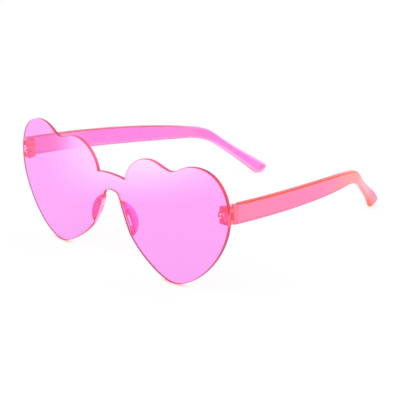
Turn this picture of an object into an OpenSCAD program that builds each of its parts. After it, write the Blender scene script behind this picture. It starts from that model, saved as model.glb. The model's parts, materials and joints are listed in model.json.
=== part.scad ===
// Rimless sunglasses whose one-piece lens is cut as two hearts joined by a bridge.
// They are drawn with the lens upright and its heart tips at height zero: X runs across the face,
// Y from the front of the lens towards the wearer's ears, Z up. The wearer's left side is at +X.
// At the end they are tipped back until they rest on the heart tips and the temple tips.

/* [Lens] */
// Width across both hearts
frame_w = 139; // [132:1:148]
// Height from the heart tips to the outer lobes
lens_h = 54.2; // [51:0.2:58]
// Thickness of the lens sheet
lens_t = 1.6; // [1.4:0.1:2.2]
// Radius of the lens's front face, seen from above
lens_r = 580; // [450:10:900]

/* [Nose pads] */
// Length of a pad along the edge beside the nose
pad_l = 16.4; // [13:0.2:17]
// Width of a pad where it meets the lens
pad_w = 4.6; // [4.4:0.1:5.6]
// Depth of a pad behind the lens
pad_d = 3.8; // [3:0.1:4.6]
// Distance of a pad from the edge of the lens
pad_in = 0.3; // [0.1:0.1:0.8]
// Distance of a pad's middle down that edge from the edge's own middle
pad_down = 1.7; // [0.8:0.1:2.2]
// Thickness of the glue under a pad
glue_t = 0.02; // [0.01:0.01:0.05]
// Length of the slot through a pad
pad_slot_l = 5; // [3:0.2:6]
// Width of the slot through a pad
pad_slot_w = 0.9; // [0.6:0.1:1.1]
// Distance from the pad's nose side to the middle of its slot, on the lens
pad_slot_in = 1.6; // [1.4:0.1:1.8]
// Distance of the slot's middle below the pad's middle
pad_slot_down = 1.2; // [0:0.1:2]
// Turn of the slot away from straight back, towards the nose
pad_slot_turn = 45; // [30:1:48]

/* [End pieces] */
// Height of the hinge centres above the heart tips
hinge_h = 36.4; // [35.2:0.2:37.4]
// Height of an end piece
end_h = 7.7; // [7.4:0.1:9]
// Width of an end piece's plate
end_w = 5.5; // [5.3:0.1:6.4]
// Thickness of the plate on the back of the lens
end_t = 1.3; // [1:0.1:1.6]
// Distance of the plate from the widest point of the lens
end_in = 0.2; // [0.1:0.1:0.6]
// Radius of the plate's corners
end_corner_r = 0.9; // [0.4:0.1:1.4]
// Distance from the plate's outer edge to the peg
peg_in = 4.2; // [4.1:0.1:4.4]
// Radius of the peg through the lens
peg_r = 1.2; // [0.9:0.1:1.3]
// Height of the peg's head in front of the lens
peg_out = 0.25; // [0.1:0.05:0.5]
// Radius of the round boss behind the peg
boss_r = 2; // [1.8:0.1:2.2]
// Height of that boss behind the plate
boss_out = 0.4; // [0.2:0.1:0.8]
// Gap all round the peg in its hole
peg_gap = 0.05; // [0.02:0.01:0.1]
// Reach of the window between the lugs, from the plate's outer edge
window_in = 2.9; // [2.6:0.1:3]

/* [Hinges] */
// Radius of the hinge knuckles
knuckle_r = 1.6; // [1.5:0.1:1.8]
// Height of the middle knuckle, which is the temple's
knuckle_h = 3; // [2.6:0.1:3.4]
// Gap above and below the middle knuckle
knuckle_gap = 0.2; // [0.1:0.05:0.3]
// Gap round the parts that swing past each other
swing_gap = 0.25; // [0.2:0.05:0.3]
// Distance of the pin's centre inside the temple's inner face
pin_in = 0.6; // [0.5:0.1:0.8]
// Radius of the screw's shank
screw_r = 0.6; // [0.5:0.05:0.7]
// Gap all round the shank in its bores
screw_gap = 0.05; // [0.02:0.01:0.08]
// Radius of the screw's head
head_r = 1.05; // [0.9:0.05:1.15]
// Height of the screw's head
head_h = 0.6; // [0.4:0.05:0.8]
// Width of the driver slot in the head
driver_w = 0.3; // [0.2:0.05:0.4]
// Depth of the driver slot
driver_d = 0.25; // [0.15:0.05:0.35]

/* [Temples] */
// Length of a temple from its front end to its tip
temple_l = 126.7; // [118:0.1:135]
// Drop from the temple's top front corner to its tip
temple_drop = 36.2; // [34:0.1:38]
// Height of that corner above the hinge centre
temple_rise = 5.1; // [4.8:0.1:5.8]
// Thickness of a temple
temple_t = 2.6; // [2.4:0.1:3.2]
// Radius of the temple's outer face, seen from above
temple_r = 265; // [230:5:320]
// Distance of the temple's outer face outside the widest point of the lens
temple_proud = 0.6; // [0.2:0.1:0.9]

/* [Hidden] */

// Straight steps along each curve of an outline
steps = 8;
// Sides of a small round piece and of a face that curves across the whole object
fine = 64;
broad = 720;
$fn = fine;
// Overrun of a cut past the face that it opens
over = 1;

half_w = frame_w / 2;

// Half of the lens from the top of the bridge round one heart to the arch over the nose.
// Each point is a share of the half width and of the lens height, and two curve handles
// stand between each pair of corners.
lens_shares = [
    [0, 0.749], [0.043, 0.749], [0.092, 0.745],
    [0.130, 0.734], [0.142, 0.843], [0.240, 0.963],
    [0.360, 0.963], [0.430, 0.963], [0.480, 0.916],
    [0.534, 0.916], [0.602, 0.916], [0.634, 1],
    [0.759, 1], [0.910, 1], [1, 0.862],
    [1, 0.646], [1, 0.345], [0.740, 0],
    [0.543, 0], [0.453, 0], [0.245, 0.157],
    [0.172, 0.290], [0.132, 0.363], [0.092, 0.507],
    [0.066, 0.574], [0.051, 0.604], [0.029, 0.608],
    [0, 0.608]
];
// Place in that list of the heart's tip, and of the next corner, where the edge beside the nose begins
heart_tip = [for (i = [0 : 3 : len(lens_shares) - 1]) if (lens_shares[i][1] == 0) i][0];
nose_edge = heart_tip + 3;

// Side of a temple: shares of its length back from the front end and of its drop,
// from the top front corner along the top edge, round the tip and back along the bottom.
temple_shares = [
    [0, 0], [0.242, 0.046], [0.558, 0.128],
    [0.732, 0.254], [0.764, 0.275], [0.790, 0.352],
    [0.817, 0.434], [0.868, 0.578], [0.935, 0.726],
    [0.976, 0.832], [0.987, 0.862], [1, 0.886],
    [1, 0.915], [1, 0.946], [0.979, 1],
    [0.962, 1], [0.945, 1], [0.936, 0.952],
    [0.925, 0.914], [0.898, 0.824], [0.863, 0.712],
    [0.809, 0.558], [0.776, 0.461], [0.732, 0.400],
    [0.684, 0.386], [0.511, 0.360], [0.227, 0.279],
    [0, 0.240]
];

// Nose pad: its outline on the lens in shares of its width and length, its depth along its
// length, and its section across, whose slanting side bears on the nose.
pad_face_shares = [
    [0, -0.5], [0.9, -0.42], [1, -0.2],
    [1, -0.03], [1, 0.18], [0.55, 0.42],
    [0, 0.5]
];
pad_depth_shares = [
    [-0.5, 0.1], [-0.42, 0.6], [-0.25, 1],
    [-0.03, 1], [0.15, 1], [0.4, 0.7],
    [0.5, 0.05]
];
pad_section_shares = [[0, 0.1], [0.46, 1], [0.62, 1], [1, 0.2]];

// A point on the cubic curve from a to d with handles b and c
function curve_at(a, b, c, d, t) =
    a * pow(1 - t, 3) + b * 3 * t * pow(1 - t, 2) + c * 3 * t * t * (1 - t) + d * pow(t, 3);

// The points of a chain of such curves, from its first corner to its last
function chain(p) = concat(
    [for (k = [0 : 3 : len(p) - 4], i = [0 : steps - 1])
        curve_at(p[k], p[k + 1], p[k + 2], p[k + 3], i / steps)],
    [p[len(p) - 1]]);

// Shares made into lengths along two directions
function sized(shares, a, b) = [for (s = shares) [s[0] * a, s[1] * b]];

half_lens = chain(sized(lens_shares, half_w, lens_h));
lens_outline = concat(half_lens, [for (i = [len(half_lens) - 2 : -1 : 1]) [-half_lens[i][0], half_lens[i][1]]]);

// Depth of the lens's front face at a place across, or of a face set back from it
function face_y(x, back = 0) = lens_r - sqrt(pow(lens_r - back, 2) - x * x);

// End piece
end_out = half_w - end_in;
end_mid = end_out - end_w / 2;
peg_x = end_out - peg_in;
plate_back = lens_t + end_t;

// Temple and the pin that it turns on
temple_out = half_w + temple_proud;
temple_face = temple_out - temple_t;
pin_x = temple_face - pin_in;
pin_y = face_y(pin_x, plate_back) + swing_gap + knuckle_r;
temple_front = face_y(end_out, plate_back) + swing_gap;
temple_top = hinge_h + temple_rise;
lug_foot = knuckle_h / 2 + knuckle_gap;
recess_r = knuckle_r + swing_gap;
temple_side = [for (p = chain(sized(temple_shares, temple_l, temple_drop)))
    [temple_front + p[0], temple_top - p[1]]];

// Nose pad: the middle and the slope of the edge that it follows
edge_low = [lens_shares[nose_edge][0] * half_w, lens_shares[nose_edge][1] * lens_h];
edge_high = [lens_shares[nose_edge + 3][0] * half_w, lens_shares[nose_edge + 3][1] * lens_h];
edge_slope = atan2(edge_low[0] - edge_high[0], edge_high[1] - edge_low[1]);
edge_mid = (edge_low + edge_high) / 2 + pad_down * [sin(edge_slope), -cos(edge_slope)];
// The middle of the pad's foot, and the turn that lays the foot flat on the lens there
pad_mid_x = edge_mid[0] + pad_w / 2 * cos(edge_slope);
pad_mid_z = edge_mid[1] + pad_w / 2 * sin(edge_slope);
pad_turn = asin(pad_mid_x / lens_r);
pad_side = concat(
    [for (p = chain(pad_depth_shares)) [p[1] * pad_d, p[0] * pad_l]],
    [[-over, pad_l / 2 + over], [-over, -pad_l / 2 - over]]);
pad_section = concat(sized(pad_section_shares, pad_w, pad_d), [[pad_w + over, -over], [-over, -over]]);

// Rest on the heart tips and the temple tips: the tilt is the slope of the line from the back
// of a heart's tip that only just touches the underside of the temple.
foot_y = face_y(lens_shares[heart_tip][0] * half_w, lens_t);
rest_tilt = min([for (p = temple_side) atan2(p[1], p[0] - foot_y)]);
rest_lift = foot_y * sin(rest_tilt);
function tipped_y(y, z) = y * cos(rest_tilt) + z * sin(rest_tilt);
front_y = min([for (p = lens_outline) tipped_y(face_y(p[0]), p[1])]);
back_y = max([for (p = temple_side) tipped_y(p[0], p[1])]);
mid_y = (front_y + back_y) / 2;

// An outline in X and Z given depth from one Y to another
module from_front(y0, y1)
    translate([0, y1, 0]) rotate([90, 0, 0]) linear_extrude(y1 - y0) children();

// The sheet between two depths behind the lens's front face, over the whole lens
module lens_layer(a, b)
    translate([0, lens_r, -over]) difference() {
        cylinder(r = lens_r - a, h = lens_h + 2 * over, $fn = broad);
        translate([0, 0, -over]) cylinder(r = lens_r - b, h = lens_h + 4 * over, $fn = broad);
    }

// The space behind the lens's back face
module behind_lens()
    translate([0, lens_r, -over]) cylinder(r = lens_r - lens_t, h = lens_h + 2 * over, $fn = broad);

module rounded_plate(w, h, r) {
    square([w, h - 2 * r], center = true);
    square([w - 2 * r, h], center = true);
    for (x = [-1, 1], y = [-1, 1])
        translate([x * (w / 2 - r), y * (h / 2 - r)]) circle(r);
}

module long_hole(w, l) {
    square([w, l - w], center = true);
    for (y = [-1, 1]) translate([0, y * (l - w) / 2]) circle(w / 2);
}

// The far side of the deepest piece behind the lens
far_y = temple_front + 4 * knuckle_r;

module peg_hole()
    translate([peg_x, far_y, hinge_h]) rotate([90, 0, 0]) cylinder(r = peg_r + peg_gap, h = far_y + over);

module lens_body()
    difference() {
        intersection() {
            from_front(-over, far_y) polygon(lens_outline);
            lens_layer(0, lens_t);
        }
        peg_hole();
        mirror([1, 0, 0]) peg_hole();
    }

// Pad on the wearer's left, in a frame that lies along the edge beside the nose
module pad_body()
    translate([pad_mid_x, face_y(pad_mid_x, lens_t) + glue_t, pad_mid_z]) rotate([0, 0, pad_turn])
        rotate([0, -edge_slope, 0]) translate([pad_in - pad_w / 2, 0, 0]) difference() {
            intersection() {
                from_front(0, pad_d + over) polygon(chain(sized(pad_face_shares, pad_w, pad_l)));
                translate([-over, 0, 0]) rotate([90, 0, 90]) linear_extrude(pad_w + 2 * over)
                    polygon(pad_side);
                translate([0, 0, -pad_l / 2 - over]) linear_extrude(pad_l + 2 * over)
                    polygon(pad_section);
            }
            translate([pad_slot_in, 0, -pad_slot_down]) rotate([0, 0, pad_slot_turn])
                from_front(-2 * over, pad_d + over) long_hole(pad_slot_w, pad_slot_l);
        }

// One of an end piece's lugs, between two heights: a knuckle and the web that ties it to the plate
module lug(z0, z1) {
    translate([pin_x, pin_y, z0]) cylinder(r = knuckle_r, h = z1 - z0);
    translate([pin_x - knuckle_r, face_y(pin_x, lens_t), z0])
        cube([knuckle_r + pin_in - swing_gap, pin_y - face_y(pin_x, lens_t), z1 - z0]);
}

module end_body()
    difference() {
        union() {
            intersection() {
                from_front(-over, far_y) {
                    translate([end_mid, hinge_h]) rounded_plate(end_w, end_h, end_corner_r);
                    translate([peg_x, hinge_h]) circle(boss_r);
                }
                lens_layer(lens_t, plate_back);
            }
            intersection() {
                from_front(-over, far_y) translate([peg_x, hinge_h]) circle(boss_r);
                lens_layer(lens_t, plate_back + boss_out);
            }
            translate([peg_x, face_y(peg_x, plate_back), hinge_h])
                rotate([90, 0, 0]) cylinder(r = peg_r, h = face_y(peg_x, plate_back) - face_y(peg_x) + peg_out);
            intersection() {
                behind_lens();
                union() {
                    lug(hinge_h + lug_foot, hinge_h + end_h / 2);
                    lug(hinge_h - end_h / 2, hinge_h - lug_foot);
                }
            }
        }
        window();
        screw_space();
    }

// The open middle third, where the temple's knuckle turns
module window() {
    translate([end_out - window_in, 0, hinge_h - lug_foot])
        cube([half_w, far_y, 2 * lug_foot]);
    translate([pin_x, pin_y, hinge_h - lug_foot]) cylinder(r = recess_r, h = 2 * lug_foot);
}

module screw_space() {
    translate([pin_x, pin_y, hinge_h - end_h / 2 - over])
        cylinder(r = screw_r + screw_gap, h = end_h + 2 * over);
    translate([pin_x, pin_y, hinge_h + end_h / 2 - head_h - screw_gap])
        cylinder(r = head_r + screw_gap, h = head_h + over);
}

module screw_body()
    difference() {
        union() {
            translate([pin_x, pin_y, hinge_h - end_h / 2]) cylinder(r = screw_r, h = end_h);
            translate([pin_x, pin_y, hinge_h + end_h / 2 - head_h]) cylinder(r = head_r, h = head_h);
        }
        translate([pin_x - head_r - over, pin_y - driver_w / 2, hinge_h + end_h / 2 - driver_d])
            cube([2 * (head_r + over), driver_w, driver_d + over]);
    }

module temple_body()
    difference() {
        union() {
            difference() {
                intersection() {
                    rotate([90, 0, 90]) linear_extrude(temple_out + over) polygon(temple_side);
                    translate([temple_out - temple_r, temple_front, -over]) difference() {
                        cylinder(r = temple_r, h = lens_h + 2 * over, $fn = broad);
                        translate([0, 0, -over])
                            cylinder(r = temple_r - temple_t, h = lens_h + 4 * over, $fn = broad);
                    }
                }
                translate([pin_x, pin_y, hinge_h + knuckle_h / 2]) cylinder(r = recess_r, h = lens_h);
                translate([pin_x, pin_y, hinge_h - knuckle_h / 2 - lens_h]) cylinder(r = recess_r, h = lens_h);
            }
            translate([pin_x, pin_y, hinge_h - knuckle_h / 2]) cylinder(r = knuckle_r, h = knuckle_h);
            translate([pin_x, temple_front, hinge_h - knuckle_h / 2])
                cube([pin_in + temple_t / 2, pin_y + knuckle_r - temple_front, knuckle_h]);
        }
        translate([pin_x, pin_y, hinge_h - knuckle_h / 2 - over])
            cylinder(r = screw_r + screw_gap, h = knuckle_h + 2 * over);
    }

// The pose in which the object stands on a table, with its origin under the middle of its box
module at_rest()
    translate([0, -mid_y, rest_lift]) rotate([-rest_tilt, 0, 0]) children();

module lens_shield() color("#f6a0ee") at_rest() lens_body();
module nose_pad_left() color("#ff66b8") at_rest() pad_body();
module nose_pad_right() color("#ff66b8") at_rest() mirror([1, 0, 0]) pad_body();
module end_piece_left() color("#ff5a78") at_rest() end_body();
module end_piece_right() color("#ff5a78") at_rest() mirror([1, 0, 0]) end_body();
module hinge_screw_left() color("silver") at_rest() screw_body();
module hinge_screw_right() color("silver") at_rest() mirror([1, 0, 0]) screw_body();
module temple_left() color("#fb8cae") at_rest() temple_body();
module temple_right() color("#fb8cae") at_rest() mirror([1, 0, 0]) temple_body();

lens_shield();
nose_pad_left();
nose_pad_right();
end_piece_left();
end_piece_right();
hinge_screw_left();
hinge_screw_right();
temple_left();
temple_right();
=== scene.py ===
"""Heart shaped rimless sunglasses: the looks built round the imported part.

Each piece is worked out in an upright frame, in metres, with the lens vertical and the hearts' tips
at height zero, as the part's own source is, and is then tipped back into the pose in which the part
stands on a table. Left is the wearer's left, at +X, and the lens looks towards -Y.
"""

import json
import math
from types import SimpleNamespace

import bpy
import numpy as np
from bpy.props import FloatProperty, FloatVectorProperty, IntProperty, PointerProperty
from mathutils import Matrix, Vector


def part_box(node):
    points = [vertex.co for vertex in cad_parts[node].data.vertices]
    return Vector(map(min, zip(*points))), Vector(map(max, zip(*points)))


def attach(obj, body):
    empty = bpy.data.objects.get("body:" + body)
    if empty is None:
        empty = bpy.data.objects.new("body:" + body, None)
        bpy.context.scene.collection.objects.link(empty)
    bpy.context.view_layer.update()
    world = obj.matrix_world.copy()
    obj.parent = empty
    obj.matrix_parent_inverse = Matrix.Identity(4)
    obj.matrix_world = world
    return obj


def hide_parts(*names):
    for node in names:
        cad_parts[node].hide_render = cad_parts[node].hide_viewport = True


bl_info = {
    "name": "Heart Sunglasses",
    "version": (1, 0, 0),
    "blender": (4, 5, 0),
    "location": "View3D > Sidebar > Sunglasses",
    "description": "Builds rimless heart shaped sunglasses and a plain studio round them",
    "category": "Add Mesh",
}

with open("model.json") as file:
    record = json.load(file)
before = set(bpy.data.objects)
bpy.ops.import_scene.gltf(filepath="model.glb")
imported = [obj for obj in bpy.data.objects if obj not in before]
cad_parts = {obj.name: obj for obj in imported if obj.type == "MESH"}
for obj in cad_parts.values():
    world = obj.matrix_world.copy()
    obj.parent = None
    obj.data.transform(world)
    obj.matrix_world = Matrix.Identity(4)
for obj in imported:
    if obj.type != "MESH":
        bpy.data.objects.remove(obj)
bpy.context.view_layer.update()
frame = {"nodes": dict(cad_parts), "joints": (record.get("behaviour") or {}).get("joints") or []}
LENS_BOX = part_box("lens_shield")

# The left hinge's pin in the rest pose, and how far the glasses are tipped back there
LEFT_FOLD = next(j for j in frame["joints"] if j["name"] == "left_temple_fold")
PIN = Vector(LEFT_FOLD["pos_m"])
TILT = math.atan2(LEFT_FOLD["axis"][1], LEFT_FOLD["axis"][2])

# Half of the lens as shares of its half width and height: corners with two curve handles between
# them, from the top of the bridge over the heart's lobes to its widest point
LENS_TOP = (
    (0, 0.749), (0.043, 0.749), (0.092, 0.745),
    (0.130, 0.734), (0.142, 0.843), (0.240, 0.963),
    (0.360, 0.963), (0.430, 0.963), (0.480, 0.916),
    (0.534, 0.916), (0.602, 0.916), (0.634, 1),
    (0.759, 1), (0.910, 1), (1, 0.862),
    (1, 0.646),
)
# From the middle of the arch over the nose down to the heart's tip and up to its widest point
LENS_LOW = (
    (0, 0.608), (0.029, 0.608), (0.051, 0.604),
    (0.066, 0.574), (0.092, 0.507), (0.132, 0.363),
    (0.172, 0.290), (0.245, 0.157), (0.453, 0),
    (0.543, 0), (0.740, 0), (1, 0.345),
    (1, 0.646),
)
# Side of a temple as shares of its length and drop: from the hinge along the top to the paddle's end
TEMPLE_TOP = (
    (0, 0), (0.242, 0.046), (0.558, 0.128),
    (0.732, 0.254), (0.764, 0.275), (0.790, 0.352),
    (0.817, 0.434), (0.868, 0.578), (0.935, 0.726),
    (0.976, 0.832), (0.987, 0.862), (1, 0.886),
    (1, 0.915),
)
# From the hinge along the bottom and round the lower corner of the paddle to its end
TEMPLE_LOW = (
    (0, 0.240), (0.227, 0.279), (0.511, 0.360),
    (0.684, 0.386), (0.732, 0.400), (0.776, 0.461),
    (0.809, 0.558), (0.863, 0.712), (0.898, 0.824),
    (0.925, 0.914), (0.936, 0.952), (0.945, 1),
    (0.962, 1), (0.979, 1), (1, 0.946),
    (1, 0.915),
)
# Nose pad: its outer boundary and its depth along its length, in shares
PAD_OUTER = ((0, -0.5), (0.9, -0.42), (1, -0.2), (1, -0.03), (1, 0.18), (0.55, 0.42), (0, 0.5))
PAD_DEPTH = ((-0.5, 0.1), (-0.42, 0.6), (-0.25, 1), (-0.03, 1), (0.15, 1), (0.4, 0.7), (0.5, 0.05))
# Its section across, from the nose side over the ridge: a closed chain of curves
PAD_SECTION = (
    (0, 0.05), (0.02, 0.32), (0.26, 1.0),
    (0.54, 1.0), (0.80, 1.0), (0.98, 0.62),
    (1, 0.22), (1.0, 0.05), (0.99, 0.0),
    (0.95, 0), (0.65, 0), (0.35, 0),
    (0.05, 0), (0.01, 0.0), (0.0, 0.02),
    (0, 0.05),
)

# Points on each curve, and how far cutting tools reach past what they cut
CURVE_STEPS = 160
REACH, SHORT_REACH = 0.02, 0.01
SLOT_REACH = (-0.002, 0.006)
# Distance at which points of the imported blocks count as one, and the share of a face's corners that
# have to be on the wall for it to count as wall
MERGE, WALL_SHARE = 2e-6, 0.05
# Where the temple's bow, the paddle's lean and its rounder edges grow, in shares of its length
BOW_GROWS, LEAN_GROWS, ROUND_GROWS = (0, 0.5), (0.82, 0.97), (0.72, 0.95)
# Sections along a pad, points on each of a section's curves, least width, and reach of the round ends
PAD_SECTIONS, PAD_POINTS, PAD_LEAST, PAD_END = 64, 10, 0.04, 0.35
# Noises: scale and detail, and the shares of the slow one and of the wipe marks in a roughness
GRAIN = SimpleNamespace(drift=(140.0, 3.0), slow=(90.0, 3.0), wipe=(1400.0, 2.0), cloud=(420.0, 2.0),
                        slow_share=0.7, wipe_share=0.3)

# Bands from where a colour begins to where it is full. On the lens's cut edges they are distances in
# metres up or away from the middle, shares of the way across the edge from front to back, or heights
# of the way that a surface faces.
EDGE = SimpleNamespace(
    inward=(0.0, 0.12), nose_up=(0.0135, 0.0175), nose_down=(0.0290, 0.0265), nose_near=(0.0160, 0.0130),
    arch_up=(0.0255, 0.0280), arch_down=(0.0325, 0.0305), arch_near=(0.0120, 0.0090),
    side_up=(0.0315, 0.0330), side_down=(0.0405, 0.0390), side_away=(0.060, 0.064), side_back=(0.64, 0.86),
    slit_down=(0.0378, 0.0370), slit_front=(0.40, 0.26), rim_right=(-0.036, -0.050), rim_front=(0.14, 0.08),
    low_away=(0.036, 0.050), low_down=(0.034, 0.026), faces_down=(0.0, -0.6), faces_up=(0.75, 0.98),
)
# On the arms: in metres along the arm or up, or shares of the way down or across it
ARM = SimpleNamespace(
    upper=(0.35, 0.0), upper_back=(-0.05, 0.01), bend=(0.002, 0.032),
    brim=(0.12, 0.0), brim_back=(0.044, 0.036), brim_front=(-0.056, -0.053),
    neck=(0.037, 0.045), tip=(0.050, 0.058), corner_low=(0.0150, 0.0020), corner_down=(0.35, 0.85),
    below_back=(0.036, 0.046), below=(0.92, 1.0), inside=(0.5, 0.95), outside=(0.5, 0.1),
    paddle_rim=(0.33, 0.5), paddle=(0.015, 0.045), lower=(0.75, 1.0), front=(-0.02, -0.05),
    inner_neck=(0.026, 0.036), inner_tip=(0.062, 0.054), end=(-0.0574, -0.0584),
    lit_back=(0.036, 0.012), lit_front=(-0.0584, -0.0574),
    upper_level=0.6, below_level=0.6, outside_level=0.75,
)
# On the pads, in metres in the pad's own frame, or shares of the distance to the oval line
PAD = SimpleNamespace(
    brim=(0.0012, 0.0036), heart=(1.0, 0.85), heart_top=(-0.0004, 0.0034),
    ring_in=(0.70, 0.86), ring_out=(1.14, 1.02),
    nose=(0.0012, 0.0002), nose_deep=(0.0, 0.0008), end=(0.0058, 0.0072), end_slant=0.0016,
)
# On the hinge blocks, in metres in the peg's own frame
BLOCK = SimpleNamespace(
    behind=(0.0040, 0.0046), outer=(0.0026, 0.0032), cloud=(0.35, 0.65),
    glint=(0.0003, 0.0001), glint_side=(0.0004, -0.0002), glint_apart=(0.0002, 0.0006),
    slit_in=(0.0001, 0.0004), slit_out=(0.0013, 0.0010), slit_tall=(0.0019, 0.0015), slit_down=0.0008,
    corner=(0.0009, 0.0006), corner_out=0.0023, corner_up=(0.0010, 0.0014), corner_level=0.7,
)
# On the floor, in metres towards the back: where the painted pink contact shade under the glasses is at its
# strongest
CONTACT_SHADE_FRONT = (0.0, -0.03)
# Soft boxes: name, place, width, and power at a key level of one
LAMPS = (("key_box", (-0.5, -0.9, 1.5), 1.4, 16.0), ("back_box", (0.9, 1.1, 1.2), 1.2, 8.0))


# Sizes and colours that a user would change

def length(name, default, description):
    return FloatProperty(name=name, default=default, description=description,
                         unit="LENGTH", min=0, precision=5)


def angle(name, degrees, description):
    return FloatProperty(name=name, default=math.radians(degrees), description=description, subtype="ANGLE")


def colour(name, default, place):
    return FloatVectorProperty(name=name, default=default, description="Colour of " + place,
                               subtype="COLOR", size=3, min=0, max=1)


def share(name, default, description):
    return FloatProperty(name=name, default=default, description=description, min=0, max=4)


def count(name, default, description):
    return IntProperty(name=name, default=default, description=description, min=40)


class LensSettings(bpy.types.PropertyGroup):
    width: length("Width", 2 * LENS_BOX[1][0], "Width across both hearts")
    height: length("Height", 0.0542, "Height from the hearts' tips to their outer lobes")
    thick: length("Thickness", 0.0016, "Thickness of the sheet")
    radius: length("Radius", 0.58, "Radius of the front face, seen from above")
    edge: length("Edge rounding", 0.00025, "Radius of the polished edges")
    columns: count("Columns", 420, "Columns of faces across the lens")
    tint: colour("Tint", (0.985, 0.370, 0.935), "the sheet")
    # The pale tint, the painted reflection and the painted glare below are a soft box's reflection, painted
    # onto the sheet's upper middle
    pale: colour("Pale tint", (1.0, 0.44, 0.94), "the sheet where it is palest")
    painted_reflection: share("Veil", 0.22, "Level of the light that the paler part scatters")
    painted_reflection_colour: colour("Veil colour", (1.0, 1.0, 0.45), "the light that the paler part scatters")
    pale_low: length("Pale from", 0.0246, "Height at which the paler part begins")
    pale_high: length("Pale to", 0.0530, "Height at which it is palest")
    pale_wide: length("Pale reach", 0.0756, "Distance from its middle at which it has gone")
    pale_middle: length("Pale middle", 0.0196, "Place of its middle across the face")
    pale_slant: share("Pale slant", 0.243, "Rise of its heights for each length across the face")
    painted_glare: share("Haze", 0.90, "How much of the light from behind is scattered high up near the bridge")
    painted_glare_light: share("Haze light", 0.56, "Share of the light it holds back that a thin haze gives out")
    painted_glare_dense: share("Dense haze light", 0.3, "How much larger that share is where the haze is full")
    painted_glare_low: length("Haze from", 0.036, "Height at which the haze begins")
    painted_glare_high: length("Haze to", 0.042, "Height at which it is full")
    painted_glare_far: length("Haze reach", 0.044, "Distance from the middle of the face at which it has gone")
    painted_glare_near: length("Haze core", 0.016, "Distance from the middle of the face at which it is full")
    edge_front: colour("Edge at the front", (0.72, 0.045, 0.09), "the cut edges beside the front face")
    # Painted light and shade: the colour that the cut edges take where they face up
    edge_top: colour("Edge facing up", (0.46, 0.05, 0.12), "the cut edges where they face up")
    edge_back: colour("Edge at the back", (0.82, 0.10, 0.17), "the cut edges beside the back face")
    edge_nose: colour("Edge by the nose", (1.0, 0.46, 0.80), "the cut edges beside the nose pads")
    edge_inside: colour("Edge by the nose, inside", (0.86, 0.10, 0.22),
        "the same edges seen from inside the sheet")
    edge_rim: colour("Edge of the outer rim", (1.0, 0.50, 0.86), "the right heart's outer edge at its front")
    edge_low: colour("Edge low at the side", (0.62, 0.085, 0.19), "the cut edges low at the sides")
    edge_arch: colour("Edge above the pads", (1.0, 0.07, 0.10), "the cut edges above the nose pads")
    # Painted light: the colour of the slit's light on the cut edge in front of it
    edge_slit: colour("Edge slit", (1.0, 0.26, 0.46), "the cut edge in front of the slit between the lugs")
    edge_side: colour("Edge by the hinge", (1.0, 0.21, 0.27), "the cut edges beside the hinges")
    glow_level: share("Glow level", 0.15, "Share of the dye's colour that the cut edges give out as light")


class TempleSettings(bpy.types.PropertyGroup):
    length: length("Length", 0.1267, "Length from the front end to the tip")
    drop: length("Drop", 0.0362, "Drop from the top front corner to the tip")
    rise: length("Rise", 0.0051, "Height of that corner above the hinge centre")
    thick: length("Thickness", 0.0026, "Thickness of the arm")
    radius: length("Radius", 0.265, "Radius of the outer face, seen from above")
    proud: length("Proud", 0.0006, "Distance of the outer face outside the lens's widest point")
    edge: length("Edge rounding", 0.0003, "Radius of the moulded edges")
    edge_tip: length("Tip rounding", 0.0012, "Radius of the edges at the paddle")
    bow: length("Bow", 0.0006, "Distance by which the arm's middle lies inside the circle")
    twist: angle("Twist", 22, "Outward lean of the paddle's upper edge")
    columns: count("Columns", 260, "Columns of faces along the arm")
    outer: colour("Outer face", (1.0, 0.235, 0.43), "the outer face")
    bend: colour("Bend", (1.0, 0.34, 0.25), "the outer face at the bend")
    neck: colour("Neck", (1.0, 0.52, 0.54), "the outer face between the bend and the paddle")
    tip: colour("Tip", (1.0, 0.27, 0.44), "the outer face at the tip")
    corner: colour("Corner", (1.0, 0.20, 0.12), "the paddle's lower corner and the outer face's top")
    inner: colour("Inner face", (1.0, 0.285, 0.96), "the inner face")
    # Painted light: the inner face beside the hinge, in the lens's shade, is painted lighter
    inner_front: colour("Inner front", (1.0, 0.43, 0.74), "the inner face beside the hinge")
    inner_neck: colour("Inner neck", (1.0, 0.225, 0.92), "the inner face between bend and paddle")
    inner_edge: colour("Inner edge", (1.0, 0.44, 0.94), "the inner face's lower edge and the paddle's edges")
    end: colour("Front end", (1.0, 0.26, 0.34), "the end beside the hinge")
    edge_outer: colour("Edge outside", (0.76, 0.06, 0.035), "the top edge beside the outer face")
    edge_inner: colour("Edge inside", (0.68, 0.12, 0.20), "the top edge's inner side and of the bottom edge")
    glow_level: share("Glow level", 0.08, "Share of the dye's colour that the arm gives out as light")


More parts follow.
